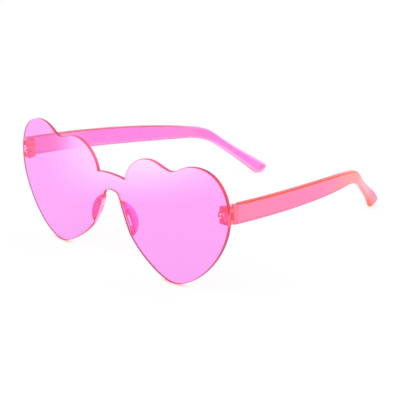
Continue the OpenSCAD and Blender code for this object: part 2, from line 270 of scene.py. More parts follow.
class PadSettings(bpy.types.PropertyGroup):
    length: length("Length", 0.0164, "Length along the edge beside the nose")
    width: length("Width", 0.0046, "Width on the lens")
    depth: length("Depth", 0.0038, "Depth behind the lens")
    inset: length("Inset", 0.0003, "Distance from the edge of the lens")
    down: length("Down", 0.0017, "Distance of its middle down that edge from the edge's own middle")
    glue: length("Glue", 0.00002, "Thickness of the glue")
    slot_length: length("Slot length", 0.005, "Length of the slot")
    slot_width: length("Slot width", 0.001, "Width of the slot")
    slot_in: length("Slot place", 0.0016, "Distance of the slot from the nose side, on the lens")
    slot_down: length("Slot down", 0.0012, "Distance of the slot's middle below the pad's middle")
    slot_turn: angle("Slot turn", 45, "Turn of the slot away from straight back, towards the nose")
    line_in: length("Line place", 0.0016, "Distance of the oval line's middle from the nose side")
    line_down: length("Line down", 0.0020, "Distance of the oval line's middle below the pad's middle")
    line_wide: length("Line width", 0.0018, "Distance from the oval line's middle to its side")
    line_tall: length("Line height", 0.0058, "Distance from the oval line's middle to its end")
    body: colour("Body", (1.0, 0.20, 0.74), "the pad")
    brim: colour("Brim", (1.0, 0.42, 0.90), "the pad away from the lens")
    nose: colour("Nose side", (1.0, 0.60, 0.88), "the side that faces the nose")
    ring: colour("Ring", (0.74, 0.04, 0.17), "the oval line round the slot")
    heart: colour("Inside", (1.0, 0.18, 0.40), "the pad inside that line")
    spot: colour("Spot", (1.0, 0.14, 0.10), "the pad's upper end and the top of that line")


class HingeSettings(bpy.types.PropertyGroup):
    height: length("Height", 0.0364, "Height of the hinge centres above the hearts' tips")
    plate: length("Plate", 0.0013, "Thickness of the plate on the back of the lens")
    gap: length("Gap", 0.00025, "Gap round the parts that swing past each other")
    knuckle: length("Knuckle", 0.0016, "Radius of the knuckles")
    middle: length("Middle knuckle", 0.003, "Height of the middle knuckle")
    bore: length("Bore", 0.00065, "Radius of the bore for the screw")
    peg: length("Peg hole", 0.00125, "Radius of the hole through the lens")
    block_in: length("Block place", 0.0002, "Distance of the plate from the lens's widest point")
    peg_in: length("Peg place", 0.0042, "Distance of that hole from the plate's outer edge")
    soften: length("Soft edge", 0.00012, "Width of the softened edges of the hinge block")
    # Where the painted glints on the hinge block lie
    glint_out: length("Glint place", 0.0011, "Distance of the glints' middle outside the peg's")
    glint_radius: length("Glint radius", 0.0011, "Radius at which the glints lie")
    body: colour("Block", (1.0, 0.17, 0.33), "the hinge block")
    glow: colour("Block clouds", (1.0, 0.22, 0.16), "the block's brighter clouds")
    # Painted light: the light that comes through between the lugs
    slit: colour("Slit", (1.0, 0.85, 0.78), "the light that comes through between the lugs")
    boss: colour("Boss", (0.80, 0.07, 0.20), "the peg's head in front of the lens")
    # Painted light: the block's outer side, in shade beside the lens's edge, is painted paler
    outer: colour("Outer side", (1.0, 0.34, 0.44), "the block's outer side")
    dark: colour("Dark corner", (0.74, 0.04, 0.09), "the block's upper outer corner")
    steel: colour("Screw", (0.78, 0.78, 0.80), "the screws")


class StageSettings(bpy.types.PropertyGroup):
    floor: length("Floor", 8.0, "Width of the floor")
    paper: colour("Paper", (0.93, 0.93, 0.93), "the floor")
    shade: share("Shade", 0.10, "Share of the floor's look that shows the shadow")
    # The painted pink contact shade where the glasses touch the floor: its colour, its reach and its strength
    # behind
    touch: colour("Touch", (1.0, 0.35, 0.33), "the floor where the glasses touch it")
    touch_reach: length("Touch reach", 0.0022, "How far that colour reaches")
    touch_back: share("Touch behind", 0.3, "Strength of that colour behind the glasses' middle")
    sky: share("Sky", 0.80, "Level of the light from all round")
    key: share("Key", 0.9, "Level of the soft boxes")
    focal: FloatProperty(name="Focal length", default=135.0, unit="CAMERA",
                         description="Focal length in millimetres")
    azimuth: angle("Azimuth", 47.04, "Turn of the camera from the front to the wearer's left")
    elevation: angle("Elevation", 18.19, "Height of the camera over the table, as an angle")
    roll: angle("Roll", -0.11, "Turn of the picture")
    depth: length("Depth", 0.652, "Distance of the bridge along the camera's axis")
    column: share("Column", 110.6 / 400, "Where the bridge is seen, as a share of the picture's width")
    row: share("Row", 174.73 / 400, "Where the bridge is seen, as a share of its height from the top")
    level: length("Level", 0.040, "Height on the bridge of the point seen there")


# Curves and surfaces

def chain(points, a, b):
    """Points along a chain of cubic curves: each curve is p0 (1-t)^3 + 3 p1 t (1-t)^2
    + 3 p2 t^2 (1-t) + p3 t^3. The shares are multiplied by the lengths a and b."""
    p = np.array(points, float) * (a, b)
    t = np.linspace(0, 1, CURVE_STEPS, endpoint=False)[:, None]
    curves = [p[k] * (1 - t) ** 3 + 3 * p[k + 1] * t * (1 - t) ** 2
              + 3 * p[k + 2] * t ** 2 * (1 - t) + p[k + 3] * t ** 3
              for k in range(0, len(p) - 3, 3)]
    return np.vstack(curves + [p[-1:]])


def same_columns(top, low, count):
    """The two edges of a shape at the same places along it. The places are closest where either
    edge is steep: they are even steps of the two edges' lengths added together."""
    run = np.unique(np.concatenate([top[:, 0], low[:, 0]]))
    high, deep = np.interp(run, *top.T), np.interp(run, *low.T)
    step = np.hypot(np.diff(run), np.diff(high)) + np.hypot(np.diff(run), np.diff(deep))
    travel = np.concatenate([[0], np.cumsum(step)])
    place = np.interp(np.linspace(0, travel[-1], count), travel, run)
    return (np.column_stack([place, np.interp(place, run, high)]),
            np.column_stack([place, np.interp(place, run, deep)]))


def cut_sheet(top, low, thick, edge, surface, rows=10, turns=4):
    """A sheet cut to an outline, with rounded edges. The outline runs along top and back along low.
    Its wall is a profile carried round it: a quarter circle from the front face, a straight wall and
    a quarter circle to the back face. Each face is a grid of straight columns between the two
    edges. edge(along) is the rounding's radius. surface(along, height, depth) puts each point in
    space, with depth measured from the front face. Returns the points, the faces, and three shares
    of each point: how much it belongs to the wall, its depth, and its way down from the top edge."""
    first, last = np.allclose(top[0], low[0]), np.allclose(top[-1], low[-1])
    back = low[::-1][int(last):len(low) - int(first)]
    loop = np.vstack([top, back])
    ahead = np.roll(loop, -1, 0) - loop
    ahead /= np.linalg.norm(ahead, axis=1, keepdims=True)
    side = np.column_stack([-ahead[:, 1], ahead[:, 0]])
    before = np.roll(side, 1, 0)
    outward = (side + before) / (1 + (side * before).sum(1, keepdims=True)).clip(0.3)
    angle = np.linspace(0, math.pi / 2, turns + 1)
    radius = edge(loop[:, 0])
    inset = np.outer(1 - np.sin(angle), radius)
    sunk = np.outer(1 - np.cos(angle), radius)
    insets = np.concatenate([inset, inset[::-1]])
    depths = np.concatenate([sunk, thick - sunk[::-1]])
    along = loop[:, 0] - insets * outward[:, 0]
    height = loop[:, 1] - insets * outward[:, 1]
    n, rings = len(loop), len(insets)
    points = [surface(along, height, depths).reshape(-1, 3)]
    across = [(depths / thick).ravel()]
    fall = [np.tile(np.arange(n) >= len(top), rings)]
    wall = [np.repeat(np.sin(np.concatenate([angle, angle[::-1]])) ** 2, n)]
    ring = np.arange(rings * n).reshape(rings, n)
    after = np.roll(ring, -1, 1)
    faces = [np.stack([after[:-1], ring[:-1], ring[1:], after[1:]], -1).reshape(-1, 4)]
    m = len(top)
    low_place = n - np.arange(m) - int(not first)
    low_place = np.where(np.arange(m) == 0, 0 if first else n - 1, low_place)
    low_place[-1] = m - 1 if last else m
    made = rings * n
    for depth, k, flip in ((0.0, 0, False), (thick, rings - 1, True)):
        up = np.column_stack([along[k, :m], height[k, :m]])
        down = np.column_stack([along[k][low_place], height[k][low_place]])
        gap = np.linalg.norm(up - down, axis=1).clip(1e-9)
        brim = np.minimum(2 * radius[:m] / gap, 0.1)[:, None]
        v = brim + (1 - 2 * brim) * np.linspace(0, 1, rows)
        grid = up[:, None] * (1 - v[..., None]) + down[:, None] * v[..., None]
        open_columns = np.arange(int(first), m - int(last))
        inner = grid[open_columns]
        points.append(surface(inner[..., 0], inner[..., 1], np.full(inner.shape[:2], depth)).reshape(-1, 3))
        wall.append(np.zeros(inner[..., 0].size))
        across.append(np.full(inner[..., 0].size, depth / thick))
        fall.append((v + 0 * grid[..., 0])[open_columns].ravel())
        number = np.empty((m, rows + 2), int)
        number[:, 0], number[:, -1] = ring[k, :m], ring[k][low_place]
        number[open_columns, 1:-1] = made + np.arange(inner[..., 0].size).reshape(inner.shape[:2])
        number[[0] * first, 1:-1] = ring[k, 0]
        number[[m - 1] * last, 1:-1] = ring[k, m - 1]
        made += inner[..., 0].size
        quads = np.stack([number[:-1, :-1], number[1:, :-1], number[1:, 1:], number[:-1, 1:]], -1)
        quads = quads.reshape(-1, 4)
        faces.append(quads[:, ::-1] if flip else quads)
    return np.vstack(points), np.vstack(faces), {
        "wall": np.concatenate(wall), "across": np.concatenate(across), "down": np.concatenate(fall)}


def ring_faces(rings, sides):
    """Faces of a closed stack of rings: each end closes on a pole, and the two poles are the last
    points, the first ring's pole before the last ring's."""
    ring = np.arange(rings * sides).reshape(rings, sides)
    after = np.roll(ring, -1, 1)
    pole = np.full(sides, rings * sides)
    return np.vstack([np.stack([ring[:-1], after[:-1], after[1:], ring[1:]], -1).reshape(-1, 4),
                      np.stack([after[0], ring[0], pole, pole], -1),
                      np.stack([ring[-1], after[-1], pole + 1, pole + 1], -1)])


def drum(radius, low, high, centre, sides=64):
    """A closed cylinder about a vertical line, from low to high over its centre: the radius times
    the cosine and the sine of the angle round it."""
    around = np.linspace(0, 2 * math.pi, sides, endpoint=False)
    circle = np.array(centre[:2]) + radius * np.column_stack([np.cos(around), np.sin(around)])
    rings = [np.column_stack([circle, np.full(sides, centre[2] + z)]) for z in (low, high)]
    poles = [(centre[0], centre[1], centre[2] + z) for z in (low, high)]
    return np.vstack([*rings, poles]), ring_faces(2, sides)


def slot_tool(width, height, sides=40):
    """A closed prism along Y over a slot's outline: a circle as wide as the slot, pulled apart up and
    down by the height that is left."""
    around = np.linspace(0, 2 * math.pi, sides, endpoint=False)
    x = width / 2 * np.cos(around)
    z = width / 2 * np.sin(around) + (height / 2 - width / 2) * np.sign(np.sin(around) + 1e-9)
    rings = [np.stack([x, np.full(sides, y), z], -1) for y in SLOT_REACH]
    return np.vstack([*rings, [(0, y, 0) for y in SLOT_REACH]]), ring_faces(2, sides)


def brick(low, high):
    """A box between two corners."""
    low, high = np.array(low, float), np.array(high, float)
    pick = np.array([[0, 0, 0], [1, 0, 0], [1, 1, 0], [0, 1, 0], [0, 0, 1], [1, 0, 1], [1, 1, 1], [0, 1, 1]])
    faces = np.array([[3, 2, 1, 0], [4, 5, 6, 7], [0, 1, 5, 4], [1, 2, 6, 5], [2, 3, 7, 6], [3, 0, 4, 7]])
    return low + pick * (high - low), faces


# Meshes and pieces

def outward_faces(points, faces):
    """The faces with their corners in the order that makes a closed surface's normals point out:
    they are turned round if the volume that they enclose, summed over corners, is below zero."""
    a, b, c, d = (points[faces[:, k]] for k in range(4))
    volume = (np.cross(b - a, c - a) * a).sum() + (np.cross(c - a, d - a) * a).sum()
    return faces if volume > 0 else faces[:, ::-1]


def mesh_object(name, points, faces, **values):
    """A mesh object from points and faces of four corners, of which two may be the same."""
    faces = outward_faces(points, faces)
    same = [faces[:, k] == faces[:, (k + 1) % 4] for k in range(4)]
    quads = faces[~np.any(same, axis=0)]
    thirds = np.vstack([np.delete(faces[same[k]], k, axis=1) for k in range(4)])
    thirds = thirds[np.all(thirds != np.roll(thirds, -1, 1), axis=1)]
    thirds = thirds[np.unique(np.sort(thirds, axis=1), axis=0, return_index=True)[1]]
    mesh = bpy.data.meshes.new(name)
    mesh.from_pydata(points.tolist(), [], quads.tolist() + thirds.tolist())
    for key, numbers in values.items():
        layer = mesh.attributes.new(key, "FLOAT", "POINT")
        layer.data.foreach_set("value", np.asarray(numbers, np.float32))
    mesh.validate()
    thing = bpy.data.objects.new(name, mesh)
    bpy.context.scene.collection.objects.link(thing)
    return thing


def settled(thing):
    """Applies an object's modifiers to its mesh, which may not come out empty."""
    bpy.context.view_layer.update()
    seen = thing.evaluated_get(bpy.context.evaluated_depsgraph_get())
    mesh = bpy.data.meshes.new_from_object(seen)
    thing.modifiers.clear()
    if not mesh.polygons:
        raise RuntimeError(thing.name + " came out empty")
    old, thing.data = thing.data, mesh
    bpy.data.meshes.remove(old)


def carve(thing, tool, operation="DIFFERENCE"):
    """Cuts a tool away from a piece, or joins it on, and removes the tool."""
    change = thing.modifiers.new("carve", "BOOLEAN")
    change.operation, change.solver, change.object = operation, "EXACT", tool
    settled(thing)
    bpy.data.objects.remove(tool)


def at_rest():
    """The move from the upright frame to the rest pose: a tilt about X, and a shift that brings the
    hinge's pin to where the joint has it."""
    lens, hinge = bpy.context.scene.lens_settings, bpy.context.scene.hinge_settings
    pin = Vector((PIN.x, pin_depth(lens, hinge), hinge.height))
    tilt = Matrix.Rotation(-TILT, 4, "X")
    return Matrix.Translation(PIN - tilt @ pin) @ tilt


def lens_depth(lens, x, back=0.0):
    """Depth of the lens's front face at a place across, or of a face set back from it: on a circle
    about a vertical line, radius - sqrt((radius - back)^2 - x^2)."""
    return lens.radius - np.sqrt((lens.radius - back) ** 2 - x ** 2)


def pin_depth(lens, hinge):
    return lens_depth(lens, PIN.x, lens.thick + hinge.plate) + hinge.gap + hinge.knuckle


def finish_piece(thing, materials, body, replaced, sharp=40):
    """Moves the mesh to the rest pose, and dresses it."""
    thing.data.transform(at_rest())
    dress_piece(thing, materials, body, replaced, sharp)


def dress_piece(thing, materials, body, replaced, sharp):
    """Smooths the mesh but for its sharp edges, gives it its materials and puts it in the frame. The
    faces of the wall take the second material."""
    mesh = thing.data
    mesh.polygons.foreach_set("use_smooth", [True] * len(mesh.polygons))
    mesh.set_sharp_from_angle(angle=math.radians(sharp))
    mesh.materials.clear()
    for material in materials:
        mesh.materials.append(material)
    if len(materials) > 1:
        wall, corner, start = (np.empty(n, kind) for n, kind in (
            (len(mesh.vertices), np.float32), (len(mesh.loops), np.int32), (len(mesh.polygons), np.int32)))
        mesh.attributes["wall"].data.foreach_get("value", wall)
        mesh.loops.foreach_get("vertex_index", corner)
        mesh.polygons.foreach_get("loop_start", start)
        share_of_wall = np.add.reduceat(wall[corner], start) / np.diff(np.append(start, len(corner)))
        mesh.polygons.foreach_set("material_index", (share_of_wall > WALL_SHARE).astype(np.int32))
    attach(thing, body)
    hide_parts(replaced)


# Node groups and materials

COLOUR, NUMBER = "NodeSocketColor", "NodeSocketFloat"
WHITE, BLACK = (1, 1, 1, 1), (0, 0, 0, 1)


class Number:
    """A number that nodes work out at each point of a surface. Reckoning with it adds the nodes."""

    def __init__(self, tree, socket):
        self.tree, self.socket = tree, socket

    def step(self, operation, other=0.0, clamp=False):
        made = node(self.tree, "ShaderNodeMath", {0: self, 1: other}, operation=operation, use_clamp=clamp)
        return Number(self.tree, made.outputs[0])

    def __add__(self, other):
        return self.step("ADD", other)

    def __sub__(self, other):
        return self.step("SUBTRACT", other)

    def __mul__(self, other):
        return self.step("MULTIPLY", other)

    def __abs__(self):
        return self.step("ABSOLUTE")

    def larger(self, other):
        return self.step("MAXIMUM", other)

    def band(self, ends):
        """0 to 1 as the number goes from the first end to the second, smoothed at both."""
        made = node(self.tree, "ShaderNodeMapRange", {
            "Value": self, "From Min": ends[0], "From Max": ends[1]}, interpolation_type="SMOOTHSTEP")
        return Number(self.tree, made.outputs["Result"])


def node(tree, kind, inputs=(), **settings):
    """Adds a node with the given settings, and with values or links for its inputs by name."""
    made = tree.nodes.new(kind)
    for key, value in settings.items():
        setattr(made, key, value)
    for key, value in dict(inputs).items():
        put(tree, made.inputs[key], value)
    return made


def put(tree, socket, value):
    """Links a socket or a number to an input, or sets the input's value. A colour may lack its alpha."""
    if isinstance(value, Number):
        value = value.socket
    if isinstance(value, bpy.types.NodeSocket):
        tree.links.new(value, socket)
    elif socket.type == "RGBA" and len(value) == 3:
        socket.default_value = (*value, 1)
    else:
        socket.default_value = value


def mix_colour(tree, factor, a, b, blend="MIX"):
    made = node(tree, "ShaderNodeMix", data_type="RGBA", blend_type=blend)
    for place, value in ((0, factor), (6, a), (7, b)):
        put(tree, made.inputs[place], value)
    return made.outputs[2]


def painted(tree, dye, *layers):
    """A colour with others laid over it in turn, each by its own mask."""
    for mask, shade in layers:
        dye = mix_colour(tree, mask, dye, shade)
    return dye


def here(tree):
    return node(tree, "ShaderNodeTexCoord").outputs["Object"]


def split(tree, place):
    """The three numbers of a place."""
    return [Number(tree, part) for part in node(tree, "ShaderNodeSeparateXYZ", {"Vector": place}).outputs]


def attribute(tree, name):
    return Number(tree, node(tree, "ShaderNodeAttribute", attribute_name=name).outputs["Fac"])


def noise(tree, place, scale, detail):
    made = node(tree, "ShaderNodeTexNoise", {"Vector": place, "Scale": scale, "Detail": detail})
    return Number(tree, made.outputs["Fac"])


def in_frame(tree, matrix):
    """The place of a point in the frame that stands at that matrix."""
    spot, turn, size = matrix.decompose()
    return node(tree, "ShaderNodeMapping", {
        "Vector": here(tree), "Location": spot, "Rotation": turn.to_euler(), "Scale": size},
        vector_type="TEXTURE").outputs[0]


def off_axis(tree, place):
    """Distance of a place from the Y axis: sqrt(x^2 + z^2)."""
    flat = node(tree, "ShaderNodeVectorMath", {0: place, 1: (1, 0, 1)}, operation="MULTIPLY")
    far = node(tree, "ShaderNodeVectorMath", {0: flat.outputs[0]}, operation="LENGTH")
    return Number(tree, far.outputs["Value"])


def new_group(name, inputs, outputs):
    group = bpy.data.node_groups.new(name, "ShaderNodeTree")
    for label, kind, default in inputs:
        socket = group.interface.new_socket(label, in_out="INPUT", socket_type=kind)
        socket.default_value = default
    for label, kind in outputs:
        group.interface.new_socket(label, in_out="OUTPUT", socket_type=kind)
    return group, group.nodes.new("NodeGroupInput"), group.nodes.new("NodeGroupOutput")


def edge_light_group():
    """Colour of an edge that light gathers in: it goes from one colour to the other across the edge and
    drifts between them along it. Painted light and shade by the way the edge faces bring it nearer the second
    colour where it faces down and give it a third colour where it faces up."""
    group, given, out = new_group("edge_light", [
        ("Front", COLOUR, WHITE), ("Back", COLOUR, WHITE), ("Top", COLOUR, WHITE), ("Scatter", NUMBER, 0.6),
        ("Above", NUMBER, 0.0), ("Below", NUMBER, 0.0)], [("Color", COLOUR)])
    facing = split(group, node(group, "ShaderNodeNewGeometry").outputs["Normal"])[2]
    drift = (noise(group, here(group), *GRAIN.drift) - 0.5) * given.outputs["Scatter"]
    # Painted light and shade: the colour shifts by the way the edge faces, down and up
    below = facing.band(EDGE.faces_down) * given.outputs["Below"]
    above = facing.band(EDGE.faces_up) * given.outputs["Above"]
    level = (attribute(group, "across") + drift).step("ADD", below, clamp=True)
    dye = painted(group, given.outputs["Front"], (level, given.outputs["Back"]),
                  (above, given.outputs["Top"]))
    put(group, out.inputs["Color"], dye)
    return group


def moulding_group():
    """Surface of moulded plastic: its roughness drifts slowly and has fine wipe marks, and its height
    has the faint waves that the mould leaves."""
    group, given, out = new_group("moulding", [
        ("Roughness", NUMBER, 0.1), ("Drift", NUMBER, 0.05), ("Waves", NUMBER, 60.0)],
        [("Roughness", NUMBER), ("Height", NUMBER)])
    stretch = node(group, "ShaderNodeMapping", {"Vector": here(group), "Scale": (1.0, 0.12, 1.0)})
    marks = (noise(group, here(group), *GRAIN.slow) * GRAIN.slow_share
             + noise(group, stretch.outputs[0], *GRAIN.wipe) * GRAIN.wipe_share)
    drift = (marks - 0.5) * given.outputs["Drift"]
    put(group, out.inputs["Roughness"], drift.step("ADD", given.outputs["Roughness"], clamp=True))
    put(group, out.inputs["Height"], noise(group, here(group), given.outputs["Waves"], 1.0))
    return group


def group_node(tree, name, **values):
    """A node group placed with its own values. It is built the first time that it is asked for."""
    makers = {"edge_light": edge_light_group, "moulding": moulding_group}
    return node(tree, "ShaderNodeGroup", values, node_tree=bpy.data.node_groups.get(name) or makers[name]())


def plastic(name, paint, transmission, glow, roughness, drift=0.02, wave_height=0.0, sheen=0.5):
    """Dyed plastic. paint(tree) adds the nodes of its colour and returns the colour and the light
    that it gives out, of which glow is the level. transmission is how clear it is, and sheen how
    much it mirrors."""
    material = bpy.data.materials.new(name)
    material.use_nodes = True
    tree = material.node_tree
    tree.nodes.clear()
    out = tree.nodes.new("ShaderNodeOutputMaterial")
    shader = node(tree, "ShaderNodeBsdfPrincipled", {
        "IOR": 1.49, "Transmission Weight": transmission, "Emission Strength": glow,
        "Specular IOR Level": sheen})
    dye, light = paint(tree)
    skin = group_node(tree, "moulding", Roughness=roughness, Drift=drift)
    put(tree, shader.inputs["Base Color"], dye)
    put(tree, shader.inputs["Emission Color"], light)
    put(tree, shader.inputs["Roughness"], skin.outputs["Roughness"])
    if wave_height:
        bump = node(tree, "ShaderNodeBump", {"Distance": wave_height, "Height": skin.outputs["Height"]})
        put(tree, shader.inputs["Normal"], bump.outputs["Normal"])
    put(tree, out.inputs["Surface"], shader.outputs["BSDF"])
    return material


def lens_materials(lens):
    def sheet(tree):
        """A painted reflection of a soft box: the sheet is paler towards the top and the bridge, and gives
        out painted light there. Its level grows with the height, less a share of the place across, and fades
        away from its middle. High up and near the bridge a painted glare hides what is behind the sheet and
        gives out the light that it no longer lets through."""
        x, _, z = split(tree, here(tree))
        level = ((z - x * lens.pale_slant).band((lens.pale_low, lens.pale_high))
                 * abs(x - lens.pale_middle).band((lens.pale_wide, 0.0)))
        painted_glare = (z.band((lens.painted_glare_low, lens.painted_glare_high))
                * abs(x).band((lens.painted_glare_far, lens.painted_glare_near)) * lens.painted_glare)
        # Painted reflection: a paler tint and added light where a soft box would be mirrored, and a painted
        # glare that hides what is behind
        dye = mix_colour(tree, level, lens.tint, lens.pale)
        light = mix_colour(tree, level * lens.painted_reflection, BLACK, lens.painted_reflection_colour)
        glare_light = painted_glare * (painted_glare * lens.painted_glare_dense + lens.painted_glare_light)
        return mix_colour(tree, painted_glare, dye, BLACK), mix_colour(tree, glare_light, light, dye, blend="ADD")

    def edge(tree):
        """The cut edge is paler where the nose pads and the hinges stand behind it, but dark as seen from
        inside the sheet beside the pads, orange above them, pale at the front of the right heart's outer edge
        and deep red low at the sides. In front of the slit between the hinge's lugs it carries painted light."""
        x, _, z = split(tree, here(tree))
        away, across = abs(x), attribute(tree, "across")
        inward = across.band(EDGE.inward)
        nose = z.band(EDGE.nose_up) * z.band(EDGE.nose_down) * away.band(EDGE.nose_near) * inward
        arch = z.band(EDGE.arch_up) * z.band(EDGE.arch_down) * away.band(EDGE.arch_near)
        side = z.band(EDGE.side_up) * z.band(EDGE.side_down) * away.band(EDGE.side_away) * inward
        # Painted light: the light that comes through the slit between the hinge's lugs, laid on the cut edge
        # in front of it
        slit = side * z.band(EDGE.slit_down) * across.band(EDGE.slit_front)
        rim = x.band(EDGE.rim_right) * across.band(EDGE.rim_front)
        low = away.band(EDGE.low_away) * z.band(EDGE.low_down)
        inside = node(tree, "ShaderNodeNewGeometry").outputs["Backfacing"]
        by_nose = mix_colour(tree, inside, lens.edge_nose, lens.edge_inside)
        # The edge's own colours, with painted light and shade where it faces up and down
        lit = group_node(tree, "edge_light", Front=lens.edge_front, Back=lens.edge_back, Top=lens.edge_top,
                         Above=0.9, Below=0.5)
        dye = painted(tree, lit.outputs["Color"], (low, lens.edge_low), (rim, lens.edge_rim),
                      (arch, lens.edge_arch), (nose, by_nose),
                      (side * across.band(EDGE.side_back), lens.edge_side), (slit, lens.edge_slit))
        return dye, dye
    # The sheet gives out its painted reflection and painted glare at full level
    return [plastic("tinted_sheet_painted_reflection", sheet, 1.0, 1.0, roughness=0.012),
            plastic("cut_edge", edge, 0.15, lens.glow_level, roughness=0.12, drift=0.08, sheen=0.1)]


def arm_dye_and_painted_light(tree, temple):
    """Dye of an arm, with painted light. Outside it goes from pink by way of the bend's salmon and the pale
    neck to the paddle, with an orange top and lower corner. Inside it is magenta, pinker beside the hinge
    where painted light lifts the part in the lens's shade, deeper at the neck and paler at its lower edge and
    at the paddle's edges."""
    _, y, z = split(tree, here(tree))
    across, down = attribute(tree, "across"), attribute(tree, "down")
    warm = (down.band(ARM.upper) * y.band(ARM.upper_back) * ARM.upper_level).larger(y.band(ARM.bend))
    brim = down.band(ARM.brim) * y.band(ARM.brim_back) * y.band(ARM.brim_front)
    below = y.band(ARM.below_back) * down.band(ARM.below) * ARM.below_level
    corner = (z.band(ARM.corner_low) * down.band(ARM.corner_down)).larger(below)
    outer = painted(tree, temple.outer, (warm, temple.bend), (brim, temple.corner),
                    (y.band(ARM.neck), temple.neck), (y.band(ARM.tip), temple.tip), (corner, temple.corner))
    pale = (abs(down - 0.5).band(ARM.paddle_rim) * y.band(ARM.paddle)).larger(down.band(ARM.lower))
    neck = y.band(ARM.inner_neck) * y.band(ARM.inner_tip)
    # Painted light: the inner face beside the hinge, in the lens's shade, is painted lighter
    inner = painted(tree, temple.inner, (y.band(ARM.front), temple.inner_front), (neck, temple.inner_neck),
                    (pale, temple.inner_edge))
    return painted(tree, outer, (across.band(ARM.inside), inner), (y.band(ARM.end), temple.end))


def temple_materials(temple, side):
    def face(tree):
        dye = arm_dye_and_painted_light(tree, temple)
        return dye, dye

    def edge(tree):
        """Light gathers along the top of the straight part and, less, along its lower outer corner."""
        y = split(tree, here(tree))[1]
        across, down = attribute(tree, "across"), attribute(tree, "down")
        # Painted light and shade: the edge's colour shifts where it faces down
        lit = group_node(tree, "edge_light", Front=temple.edge_outer, Back=temple.edge_inner, Below=0.8)
        strength = down * -1.0 + 1.0 + down * ARM.outside_level * across.band(ARM.outside)
        strength = strength * y.band(ARM.lit_back) * y.band(ARM.lit_front)
        dye = painted(tree, arm_dye_and_painted_light(tree, temple), (strength, lit.outputs["Color"]))
        return dye, dye
    return [plastic("moulded_arm_" + side, face, 0.5, temple.glow_level, roughness=0.16, drift=0.06,
                    wave_height=0.00004),
            plastic("arm_edge_" + side, edge, 0.15, temple.glow_level, roughness=0.18, drift=0.08,
                    sheen=0.1)]


def pad_material(pad, name, matrix):
    def paint(tree):
        """In the pad's own frame, with x from the nose side, y back from the lens and z along it: an
        oval line round the slot where (x/a)^2 + (z/b)^2 is 1, pinker inside it and orange at its top,
        a paler body away from the lens and on the nose side, and an orange upper end."""
        local = in_frame(tree, matrix)
        oval = node(tree, "ShaderNodeMapping", {
            "Vector": local, "Location": (pad.line_in, 0, -pad.line_down),
            "Scale": (pad.line_wide, 1, pad.line_tall)}, vector_type="TEXTURE")
        far = off_axis(tree, oval.outputs[0])
        beside, depth, height = split(tree, local)
        heart = painted(tree, pad.heart, (height.band(PAD.heart_top), pad.spot))
        line = far.band(PAD.ring_in) * far.band(PAD.ring_out)
        nose = beside.band(PAD.nose) * depth.band(PAD.nose_deep)
        dye = painted(tree, pad.body, (depth.band(PAD.brim), pad.brim), (far.band(PAD.heart), heart),
                      (line, pad.ring), (nose, pad.nose),
                      ((height + nose * PAD.end_slant).band(PAD.end), pad.spot))
        return dye, dye
    return plastic("clear_pad_" + name, paint, 0.55, 0.2, roughness=0.12, drift=0.04, sheen=0.3)


def block_material(hinge, name, matrix):
    def paint(tree):
        """Coral dye with small clouds, as thick clear plastic has beside its corners, and painted light that
        makes its outer side paler where it stands in shade. In the peg's own frame, with x across and z up:
        two painted glints where sqrt(x^2 + z^2) is near their radius, painted light that comes through
        between the lugs, and the dark corner above it."""
        local = in_frame(tree, matrix)
        beside, depth, height = split(tree, local)
        behind = depth.band(BLOCK.behind)
        glint = (abs(off_axis(tree, local) - hinge.glint_radius).band(BLOCK.glint)
                 * beside.band(BLOCK.glint_side) * abs(height).band(BLOCK.glint_apart))
        slit = (beside.band(BLOCK.slit_in) * beside.band(BLOCK.slit_out)
                * abs(height + BLOCK.slit_down).band(BLOCK.slit_tall) * behind)
        corner = (abs(beside - BLOCK.corner_out).band(BLOCK.corner)
                  * height.band(BLOCK.corner_up) * behind * BLOCK.corner_level)
        clouds = noise(tree, here(tree), *GRAIN.cloud).band(BLOCK.cloud)
        block = painted(tree, hinge.body, (clouds, hinge.glow))
        # Painted glints, painted light from between the lugs and painted light on the outer side are laid
        # over the block's colour
        dye = painted(tree, hinge.boss, (behind, block), (beside.band(BLOCK.outer), hinge.outer),
                      (glint, WHITE), (slit, hinge.slit), (corner, hinge.dark))
        return dye, dye
    return plastic("hinge_plastic_" + name, paint, 0.45, 0.2, roughness=0.2, drift=0.05, sheen=0.3)


def steel_material(hinge):
    """Turned steel: rings of fine tool marks about the vertical axis."""
    material = bpy.data.materials.new("turned_steel")
    material.use_nodes = True
    tree = material.node_tree
    shader = tree.nodes["Principled BSDF"]
    shader.inputs["Metallic"].default_value = 1.0
    wave = node(tree, "ShaderNodeTexWave", {
        "Vector": here(tree), "Scale": 2600.0, "Distortion": 1.5, "Detail": 2.0},
        wave_type="RINGS", rings_direction="Z")
    marks = Number(tree, wave.outputs["Fac"])
    dye = mix_colour(tree, marks, hinge.steel, [0.8 * c for c in hinge.steel])
    put(tree, shader.inputs["Base Color"], dye)
    put(tree, shader.inputs["Roughness"], marks * 0.15 + 0.18)
    return material


# The operators

